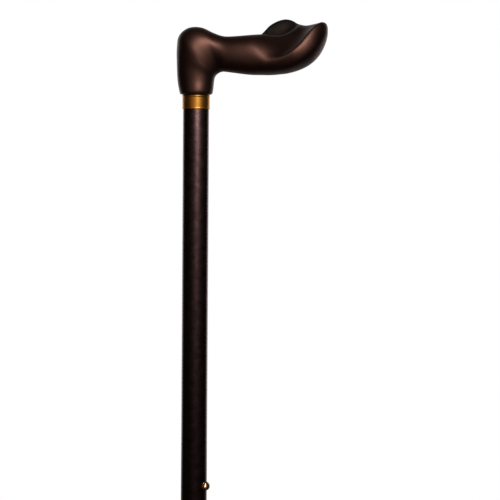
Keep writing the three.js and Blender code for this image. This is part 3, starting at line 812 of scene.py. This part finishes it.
def button_mesh():
    shoulder = BUTTON_TIP - BUTTON_DOME
    dome = [
        (BUTTON_RADIUS * math.cos(angle), shoulder + BUTTON_DOME * math.sin(angle), 0)
        for angle in (math.radians(d) for d in range(0, 90, 9))
    ]
    corners = [
        (0, BUTTON_FLANGE),
        (4.7, BUTTON_FLANGE, 0.2),
        (4.7, BUTTON_FLANGE + 0.8, 0.2),
        (BUTTON_RADIUS, BUTTON_FLANGE + 1, 0.2),
        *dome,
        (0, BUTTON_TIP),
    ]
    return sideways(turned(rounded(corners), 64), BUTTON_ANGLE, BUTTON_HEIGHT)


def leaf_mesh(line):
    """A strip of the clip, along a line of (distance from the axis, height) points."""
    half = LEAF_THICKNESS / 2
    rings = []
    for i, here in enumerate(line):
        along = (line[min(i + 1, len(line) - 1)] - line[max(i - 1, 0)]).normalized()
        normal = Vector((along.y, -along.x))
        section = [(1, -1), (1, 1), (-1, 1), (-1, -1)]
        ring = []
        for out, across in section:
            flat = here + normal * half * out
            ring.append(Vector((flat.x, across * LEAF_WIDTH / 2, flat.y)))
        rings.append(ring)
    mesh = cleaned(skin(rings))
    turn = Matrix.Rotation(BUTTON_ANGLE, 4, "Z")
    return moved(mesh, Matrix.Translation(SHAFT + Vector((0, 0, BUTTON_HEIGHT))) @ turn)


def add_spring_clip():
    front = BUTTON_FLANGE - GAP - LEAF_THICKNESS / 2
    back = -(LOWER_RADIUS - TUBE_WALL) + 2
    bottom = -LEAF_LENGTH
    straight = [Vector((front, 8 - step * 2)) for step in range(10)]
    knee, heel = Vector((front, -10)), Vector((LEAF_FOLD, bottom))
    lean = [knee.lerp(heel, step / 12) for step in range(1, 13)]
    fold = [
        Vector((LEAF_FOLD * math.cos(angle), bottom - LEAF_FOLD * math.sin(angle)))
        for angle in (math.pi * step / 12 for step in range(1, 13))
    ]
    front_leaf = piece(
        "spring_front_leaf", leaf_mesh(straight + lean), SPRING_STEEL, None, "spring_steel"
    )
    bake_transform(front_leaf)
    back_line = fold + [fold[-1].lerp(Vector((back, 10)), step / 10) for step in range(1, 11)]
    piece(
        "spring_back_leaf",
        leaf_mesh([lean[-1]] + back_line),
        SPRING_STEEL,
        "base",
        "spring_steel",
        "button_spring_clip",
    )


BUTTON_PIECE = piece("snap_button", button_mesh(), BRASS, "button", "gold", "height_button")
add_spring_clip()

# ---- Lock ----------------------------------------------------------------------------------

THREAD_PITCH = 3
THREAD_ROOT = 12.4
THREAD_CREST = 13.2
THREAD_STEP = 0.25  # between the threaded skirt's rings of points
NUT_FLUTES = 8
NUT_RADIUS = 16.2
FLUTE_RADIUS = 3
NUT_RIBS = 64


def smooth_step(value):
    share = min(max(value, 0), 1)
    return share * share * (3 - 2 * share)


def collet_mesh():
    low, high = box_mm("lock_collet")
    bottom, top = low.z, high.z
    collar_bottom = top - 18
    rim = radius_of("lock_collet")
    nut_top = box_mm("lock_nut")[1].z

    def thread(angle, r, z):
        if r < THREAD_ROOT - 0.05 or z > collar_bottom:
            return r
        phase = ((z - bottom) / THREAD_PITCH - angle / (2 * math.pi)) % 1
        ridge = smooth_step((0.3 - abs(phase - 0.5)) / 0.16)
        fade = smooth_step((z - (nut_top - 9.5)) / 0.8) * smooth_step((nut_top + 0.2 - z) / 0.8)
        return r + (THREAD_CREST - THREAD_ROOT) * ridge * fade

    def grips(angle, r, z):
        if r < rim - 0.2:
            return thread(angle, r, z)
        return r - 0.35 * (0.5 + 0.5 * math.cos(36 * angle)) ** 2

    seat = UPPER_RADIUS + 0.05
    threaded = [Vector((THREAD_ROOT, bottom)), Vector((THREAD_ROOT, collar_bottom - 0.2))]
    profile = (
        [Vector((11.4, bottom))]
        + finely(threaded, THREAD_STEP, closed=False)
        + rounded(
            [
                (THREAD_ROOT, collar_bottom - 0.2),
                (rim, collar_bottom + 0.3, 0.5),
                (rim, collar_bottom + 5, 0.6),
                (THREAD_CREST, collar_bottom + 7, 0.8),
                (THREAD_CREST, top - 0.8, 0.7),
                (seat + 0.4, top, 0.2),
                (seat, top - 0.4, 0.1),
            ],
            closed=False,
        )
        + [Vector((seat, collar_bottom)), Vector((LOWER_RADIUS + 0.3, collar_bottom - 1))]
        + [Vector((LOWER_RADIUS + 0.3, bottom + 6))]
    )
    return at_shaft(turned(profile, 288, grips))


def nut_mesh():
    low, high = box_mm("lock_nut")
    bottom, top = low.z, high.z
    flute_from, flute_to = bottom + 4.6, top - 2.6

    def flutes(angle, r, z):
        if r < NUT_RADIUS - 0.6:
            return r
        inside = smooth_step((z - flute_from) / 1.6) * smooth_step((flute_to - z) / 1.6)
        around = (angle * NUT_FLUTES / (2 * math.pi)) % 1
        off = min(around, 1 - around) * 2 * math.pi / NUT_FLUTES
        distance = NUT_RADIUS + 2
        reach = distance * math.sin(off)
        scallop = distance * math.cos(off) - math.sqrt(max(FLUTE_RADIUS**2 - reach * reach, 0))
        rib = 0.16 * (0.5 + 0.5 * math.cos(NUT_RIBS * angle))
        return r - inside * (max(NUT_RADIUS - scallop, 0) if abs(reach) < FLUTE_RADIUS else rib)

    corners = [
        (LOWER_RADIUS + 0.6, bottom, 0.3),
        (NUT_RADIUS - 3, bottom, 0.6),
        (NUT_RADIUS - 0.8, bottom + 3, 1.2),
        (NUT_RADIUS, bottom + 6, 1.5),
        (NUT_RADIUS, top - 1.2, 0.6),
        (NUT_RADIUS - 1.2, top, 0.5),
        (THREAD_ROOT + 0.5, top, 0.3),
        (THREAD_ROOT + 0.5, bottom + 5, 0.2),
        (LOWER_RADIUS + 0.6, bottom + 5, 0.2),
    ]
    return at_shaft(turned(finely(rounded(corners), 0.8), 512, flutes))


piece("collet_collar", collet_mesh(), BLACK_PLASTIC, "upper", "black_plastic", "lock_collet")
piece("fluted_nut", nut_mesh(), BLACK_PLASTIC, "nut", "black_plastic", "lock_nut")

# ---- Base ----------------------------------------------------------------------------------

COLUMN_RADIUS = radius_of("base_column")
COLUMN_WALL = 1.5
LEG_RADIUS = 7.95
LEG_BEND = 24
SHOULDER_X = 50
SHOULDER_HEIGHT = 104
ANKLE_HEIGHT = 54
ARCH_OFFSET = COLUMN_RADIUS + LEG_RADIUS + GAP
PLATE = box_mm("tie_plate")
BOLT = middle("column_bolt")


def column_mesh():
    low, high = box_mm("base_column")
    profile = pipe_profile(COLUMN_RADIUS, COLUMN_RADIUS - COLUMN_WALL, low.z, high.z, 0.4)
    return at_shaft(turned(profile, 112))


def sleeve_mesh():
    low, high = box_mm("column_sleeve")
    lip = high.z - 3.3
    inside = LOWER_RADIUS + 0.15
    outside = COLUMN_RADIUS - COLUMN_WALL - GAP
    corners = [
        (inside, low.z),
        (outside, low.z),
        (outside, lip, 0.1),
        (COLUMN_RADIUS + 0.6, lip, 0.3),
        (COLUMN_RADIUS + 0.6, lip + 1.6, 0.6),
        (COLUMN_RADIUS - 1, high.z, 0.8),
        (inside + 0.3, high.z, 0.2),
        (inside, high.z - 0.4, 0.2),
    ]
    return at_shaft(turned(rounded(corners, 0.2), 112))


def cap_mesh():
    low, high = box_mm("column_cap")
    seat = box_mm("base_column")[0].z - GAP
    plug = COLUMN_RADIUS - COLUMN_WALL - GAP
    corners = [
        (0, low.z + 0.6),
        (4.5, low.z + 0.6, 0.3),
        (5.2, low.z, 0.3),
        (COLUMN_RADIUS - 2, low.z, 1.2),
        (COLUMN_RADIUS, low.z + 1.6, 0.8),
        (COLUMN_RADIUS, seat, 0.2),
        (plug, seat, 0.1),
        (plug, high.z, 0.4),
        (0, high.z),
    ]
    return at_shaft(turned(rounded(corners), 96))


def along_y(mesh, side):
    """Turns a mesh made along +Z to point to the near side (-1) or the far side (1)."""
    turn = Matrix.Rotation(-side * math.pi / 2, 4, "X")
    return moved(mesh, Matrix.Translation(SHAFT + Vector((0, 0, BOLT.z))) @ turn)


WASHER_SEAT = COLUMN_RADIUS + GAP
WASHER_THICKNESS = 1.2
HEAD_SEAT = WASHER_SEAT + WASHER_THICKNESS + GAP
BOLT_RADIUS = 2.5


def prism(across_corners, bottom, top, sides=6):
    corners = [(0, bottom), (across_corners, bottom), (across_corners, top), (0, top)]
    return turned([Vector(c) for c in corners], sides)


def bolt_mesh():
    head = HEAD_SEAT + 2.9
    corners = [
        (0, -HEAD_SEAT - 9),
        (BOLT_RADIUS, -HEAD_SEAT - 9, 0.4),
        (BOLT_RADIUS, HEAD_SEAT - 0.3, 0.1),
        (4.75, HEAD_SEAT - 0.3, 0.2),
        (4.75, HEAD_SEAT + 1, 0.8),
        (3.4, head - 0.2, 0.9),
        (0, head),
    ]
    socket = prism(1.75, HEAD_SEAT + 0.9, head + 1)
    return along_y(cut(turned(rounded(corners), 72), socket), -1)


def washer_mesh(side):
    profile = pipe_profile(5.5, BOLT_RADIUS + 0.2, WASHER_SEAT - 0.28, HEAD_SEAT - GAP, 0.25)
    return along_y(turned(profile, 64), side)


def cap_nut_mesh():
    chamfer = turned(
        rounded(
            [
                (0, HEAD_SEAT - 0.3),
                (4.1, HEAD_SEAT - 0.3, 0.1),
                (4.7, HEAD_SEAT + 0.2, 0.1),
                (4.7, HEAD_SEAT + 4, 0.1),
                (4, HEAD_SEAT + 4.5, 0.1),
                (0, HEAD_SEAT + 4.5),
            ]
        ),
        72,
    )
    hexagon = combined(prism(4.6, HEAD_SEAT - 1, HEAD_SEAT + 6), chamfer, "INTERSECT")
    dome_height = 6.5
    dome = [
        (3.8 * math.cos(angle), HEAD_SEAT + 4.5 + dome_height * math.sin(angle), 0)
        for angle in (math.radians(d) for d in range(0, 90, 9))
    ]
    start = HEAD_SEAT + 1
    corners = [(0, start), (3.8, start, 0), *dome, (0, HEAD_SEAT + 4.5 + dome_height)]
    return along_y(combined(hexagon, turned(rounded(corners), 72), "UNION"), 1)


def arch_corners(side):
    """The centre line's corners of the near (-1) or far (1) arch."""
    name = "near" if side < 0 else "far"
    front, rear = middle(f"rubber_tip_front_{name}"), middle(f"rubber_tip_rear_{name}")
    bottom = box_mm(f"leg_arch_{name}")[0].z
    middle_y = SHAFT.y + side * ARCH_OFFSET
    return [
        (front.x, front.y, bottom),
        (front.x, front.y, ANKLE_HEIGHT),
        (-SHOULDER_X, middle_y, SHOULDER_HEIGHT),
        (SHOULDER_X, middle_y, SHOULDER_HEIGHT),
        (rear.x, rear.y, ANKLE_HEIGHT),
        (rear.x, rear.y, bottom),
    ]


def plate_mesh():
    low, high = PLATE
    corner = 8
    half_x, half_y = (high.x - low.x) / 2, (high.y - low.y) / 2
    curve = bpy.data.curves.new("plate", "CURVE")
    curve.dimensions = "2D"
    curve.fill_mode = "BOTH"
    edge = 0.5
    quarters = ((1, 1, 0), (-1, 1, math.pi / 2), (-1, -1, math.pi), (1, -1, 1.5 * math.pi))
    curve.extrude = (high.z - low.z) / 2 - edge
    curve.bevel_depth = edge
    curve.bevel_resolution = 3
    curve.offset = -edge
    outline = [
        (
            sx * (half_x - corner) + corner * math.cos(start + math.radians(step * 9)),
            sy * (half_y - corner) + corner * math.sin(start + math.radians(step * 9)),
        )
        for sx, sy, start in quarters
        for step in range(11)
    ]
    hole = COLUMN_RADIUS + GAP
    opening = [
        (hole * math.cos(angle), hole * math.sin(angle))
        for angle in (-2 * math.pi * step / 72 for step in range(72))
    ]
    for points in (outline, opening):
        spline = curve.splines.new("POLY")
        spline.points.add(len(points) - 1)
        for point, (x, y) in zip(spline.points, points):
            point.co = (x, y, 0, 1)
        spline.use_cyclic_u = True
    holder = bpy.data.objects.new("plate_curve", curve)
    bpy.context.scene.collection.objects.link(holder)
    bpy.context.view_layer.update()
    graph = bpy.context.evaluated_depsgraph_get()
    mesh = bpy.data.meshes.new_from_object(holder.evaluated_get(graph))
    bpy.data.objects.remove(holder)
    return cleaned(moved(mesh, Matrix.Translation(SHAFT + Vector((0, 0, (low.z + high.z) / 2)))))


def weld(name, points, radius, looped=False):
    """A bead of overlapping ripples along points."""

    def reach(i):
        ripple = 0.86 + 0.14 * math.sin(i * math.pi / 2)
        ends = 1 if looped else smooth_step(min(i, len(points) - 1 - i) / 4 + 0.25)
        return radius * ripple * ends

    bead = swept(points, reach, 12, looped)
    piece(f"weld_{name}", bead, POWDER_COAT, "base", "steel_paint")


def add_welds():
    top = PLATE[1].z
    ring = COLUMN_RADIUS + 0.7
    for name, z in (("top", top + 0.2), ("bottom", PLATE[0].z - 0.2)):
        points = [
            SHAFT + Vector((ring * math.cos(angle), ring * math.sin(angle), z))
            for angle in (2 * math.pi * step / 120 for step in range(120))
        ]
        weld(f"column_{name}", points, 1.7, True)
    for side, name in ((-1, "near"), (1, "far")):
        for edge in (-1, 1):
            y = SHAFT.y + side * ARCH_OFFSET + edge * 4.6
            points = [Vector((SHAFT.x - 17 + step * 0.5, y, top + 0.9)) for step in range(69)]
            label = "inner" if edge * side < 0 else "outer"
            weld(f"{name}_{label}", points, 1.8)
        y = SHAFT.y + side * (COLUMN_RADIUS + 0.6)
        for level_z, label in ((5.5, "upper"), (-5.5, "lower")):
            z = SHOULDER_HEIGHT + level_z
            points = [Vector((SHAFT.x - 5 + step * 0.5, y, z)) for step in range(21)]
            weld(f"{name}_column_{label}", points, 1.6)


def tip_mesh(node):
    low, high = box_mm(node)
    foot = (high.x - low.x) / 2
    top = high.z
    bore = LEG_RADIUS + 0.05
    tread = []
    for r in (15.2, 13.4, 11.6):
        groove = ((r + 0.5, 0), (r + 0.3, 0.9), (r - 0.3, 0.9), (r - 0.5, 0))
        tread += [(*corner, 0.15) for corner in groove]
    corners = [
        (0, 1.6),
        (8, 1.6, 0.4),
        (9, 0, 0.3),
        *tread[::-1],
        (foot - 0.6, 0, 0.4),
        (foot, 0.8, 0.5),
        (foot, 5, 1.2),
        (14.6, 9, 4),
        (12.6, 14, 5),
        (11.9, 19.4, 1),
        (12.3, 19.9, 0.3),
        (12.3, 20.9, 0.3),
        (11.8, 21.4, 0.3),
        (11.8, 23.2, 0.3),
        (12.2, 23.7, 0.3),
        (12.2, 24.7, 0.3),
        (11.75, 25.2, 0.3),
        (11.75, top - 4.2, 0.8),
        (12.4, top - 3, 0.6),
        (12.4, top - 0.8, 0.7),
        (11.6, top, 0.6),
        (bore + 0.5, top, 0.3),
        (bore, top - 0.6, 0.2),
        (bore, 8, 0.1),
        (0, 8),
    ]
    centre = (low + high) / 2
    return moved(turned(rounded(corners), 96), Matrix.Translation(Vector((centre.x, centre.y, 0))))


piece("column_tube", column_mesh(), POWDER_COAT, "base", "steel_paint", "base_column")
piece("column_liner", sleeve_mesh(), BLACK_PLASTIC, "base", "black_plastic", "column_sleeve")
piece("column_end_cap", cap_mesh(), BLACK_PLASTIC, "base", "black_plastic", "column_cap")
piece("socket_bolt", bolt_mesh(), ZINC, "base", "zinc_steel", "column_bolt")
piece("bolt_washer", washer_mesh(-1), ZINC, "base", "zinc_steel", "column_bolt_washer")
piece("nut_washer", washer_mesh(1), ZINC, "base", "zinc_steel", "column_nut_washer")
piece("domed_nut", cap_nut_mesh(), ZINC, "base", "zinc_steel", "column_cap_nut")
piece("cross_plate", plate_mesh(), POWDER_COAT, "base", "steel_paint", "tie_plate")
add_welds()
for arch_side, arch_name in ((-1, "near"), (1, "far")):
    arch = swept(bent_path(arch_corners(arch_side), LEG_BEND), LEG_RADIUS, 48)
    arch_node = f"leg_arch_{arch_name}"
    piece(f"{arch_name}_leg_tube", arch, POWDER_COAT, "base", "steel_paint", arch_node)
    for end in ("front", "rear"):
        node = f"rubber_tip_{end}_{arch_name}"
        piece(f"{end}_{arch_name}_ferrule", tip_mesh(node), RUBBER, "base", "rubber", node)

# ---- Pieces kept from the CAD, all of them inside others -----------------------------------

KEPT = {
    "tube_top_plug": NATURAL_PLASTIC,
    "lower_tube_glide": NATURAL_PLASTIC,
    "grip_ring": NATURAL_PLASTIC,
    "tip_washer_front_near": ZINC,
    "tip_washer_front_far": ZINC,
    "tip_washer_rear_near": ZINC,
    "tip_washer_rear_far": ZINC,
}
for node, finish in KEPT.items():
    for material_slot in NODES[node].material_slots:
        material_slot.material = finish

# ---- Stage ---------------------------------------------------------------------------------

FLOOR_RADIUS = 1.6
FLOOR_LIGHT_HEIGHT = 1.6
WORLD_FRONT, WORLD_BACK = 0.006, 0.35  # greys of the world's light


def add_floor():
    rim = [
        (FLOOR_RADIUS * math.cos(angle), FLOOR_RADIUS * math.sin(angle), 0)
        for angle in (2 * math.pi * step / 96 for step in range(96))
    ]
    mesh = mesh_of(rim, [tuple(range(96))], "floor")
    mesh.materials.append(pale_floor())
    floor = bpy.data.objects.new("floor", mesh)
    bpy.context.scene.collection.objects.link(floor)
    floor.visible_glossy = False
    floor.visible_diffuse = False
    return floor


def add_softbox(name, azimuth, height, distance, width, tall, power, colour=(1, 1, 1)):
    """A rectangular light, level with its aim. Azimuth 0 is the near side, 90 the tail's side."""
    data = bpy.data.lights.new(name, "AREA")
    data.shape = "RECTANGLE"
    data.size, data.size_y = width, tall
    data.energy = power
    data.color = colour
    light = bpy.data.objects.new(name, data)
    bpy.context.scene.collection.objects.link(light)
    turn = math.radians(azimuth)
    aim = Vector((SHAFT.x * MM, SHAFT.y * MM, height))
    light.location = aim + Vector((math.sin(turn), -math.cos(turn), 0)) * distance
    light.rotation_euler = (aim - light.location).to_track_quat("-Z", "Y").to_euler()
    light.visible_camera = False
    return light


def light_only(light, *pieces):
    """Links a light to some pieces, so that it reaches nothing else."""
    lit = bpy.data.collections.new("lit_by_" + light.name)
    for lit_piece in pieces:
        lit.objects.link(lit_piece)
    light.light_linking.receiver_collection = lit


def add_floor_light(floor):
    """A wide light from above that keeps the floor pale, and reaches nothing else."""
    data = bpy.data.lights.new("floor_light", "AREA")
    data.size = 4
    data.energy = 50
    light = bpy.data.objects.new("floor_light", data)
    bpy.context.scene.collection.objects.link(light)
    light.location = (0, 0, FLOOR_LIGHT_HEIGHT)
    light.visible_camera = False
    light_only(light, floor)


def add_world():
    """White where the camera looks past the object. As light, grey behind it, dark in front."""
    world = bpy.data.worlds.new("studio")
    world.use_nodes = True
    bpy.context.scene.world = world
    tree = world.node_tree
    tree.nodes.clear()
    place = tree.nodes.new("ShaderNodeTexCoord")
    split = tree.nodes.new("ShaderNodeSeparateXYZ")
    ramp = tree.nodes.new("ShaderNodeValToRGB")
    stops = ((0.72, WORLD_FRONT), (0.95, WORLD_BACK))
    for element, (position, grey) in zip(ramp.color_ramp.elements, stops):
        element.position = position
        element.color = (grey, grey, grey, 1)
    scale = tree.nodes.new("ShaderNodeMapRange")
    scale.inputs["From Min"].default_value = -1
    rays = tree.nodes.new("ShaderNodeLightPath")
    lit = tree.nodes.new("ShaderNodeBackground")
    seen = tree.nodes.new("ShaderNodeBackground")
    seen.inputs["Color"].default_value = (1, 1, 1, 1)
    mix = tree.nodes.new("ShaderNodeMixShader")
    out = tree.nodes.new("ShaderNodeOutputWorld")
    for source, target in (
        (place.outputs["Generated"], split.inputs[0]),
        (split.outputs["Y"], scale.inputs["Value"]),
        (scale.outputs["Result"], ramp.inputs["Fac"]),
        (ramp.outputs["Color"], lit.inputs["Color"]),
        (rays.outputs["Is Camera Ray"], mix.inputs["Fac"]),
        (lit.outputs["Background"], mix.inputs[1]),
        (seen.outputs["Background"], mix.inputs[2]),
        (mix.outputs["Shader"], out.inputs["Surface"]),
    ):
        tree.links.new(source, target)


WARM = (1, 0.62, 0.35)

FLOOR = add_floor()
add_floor_light(FLOOR)
KEY_PLACE = (15.5, 1.017, 0.6, 0.17, 0.35)  # azimuth, height, distance, width, tall
add_softbox("key", *KEY_PLACE, 2.9)
light_only(add_softbox("shaft_key", *KEY_PLACE, 24), TUBE_PIECE)
light_only(add_softbox("fill", 0, 0.75, 1.4, 2.6, 1.6, 1.6), HANDLE_PIECE)
light_only(add_softbox("gilt_fill", 0, 0.6, 1.4, 2.6, 1.6, 2.6, WARM), COLLAR_PIECE)
light_only(add_softbox("button_key", 6, 0.46, 0.8, 0.16, 0.4, 5), BUTTON_PIECE)
light_only(add_softbox("button_fill", 0, 0.4, 1.4, 2.6, 1.2, 3.2, WARM), BUTTON_PIECE)
add_softbox("back_right", 148, 0.75, 1.3, 0.5, 1.0, 1.6)
add_softbox("back_left", -148, 0.75, 1.3, 0.5, 1.0, 1.6)
HIGH_PIECES = (FLOOR, HANDLE_PIECE, COLLAR_PIECE, BUTTON_PIECE, TUBE_PIECE)
meshes = [made for made in bpy.context.scene.objects if made.type == "MESH"]
low_pieces = [made for made in meshes if made not in HIGH_PIECES]
light_only(add_softbox("base_front", 30, 0.45, 1.2, 0.9, 0.7, 9), *low_pieces)
light_only(add_softbox("base_back", -150, 0.45, 1.2, 0.9, 0.7, 7), *low_pieces)
add_world()
bpy.context.scene.view_settings.view_transform = "Standard"
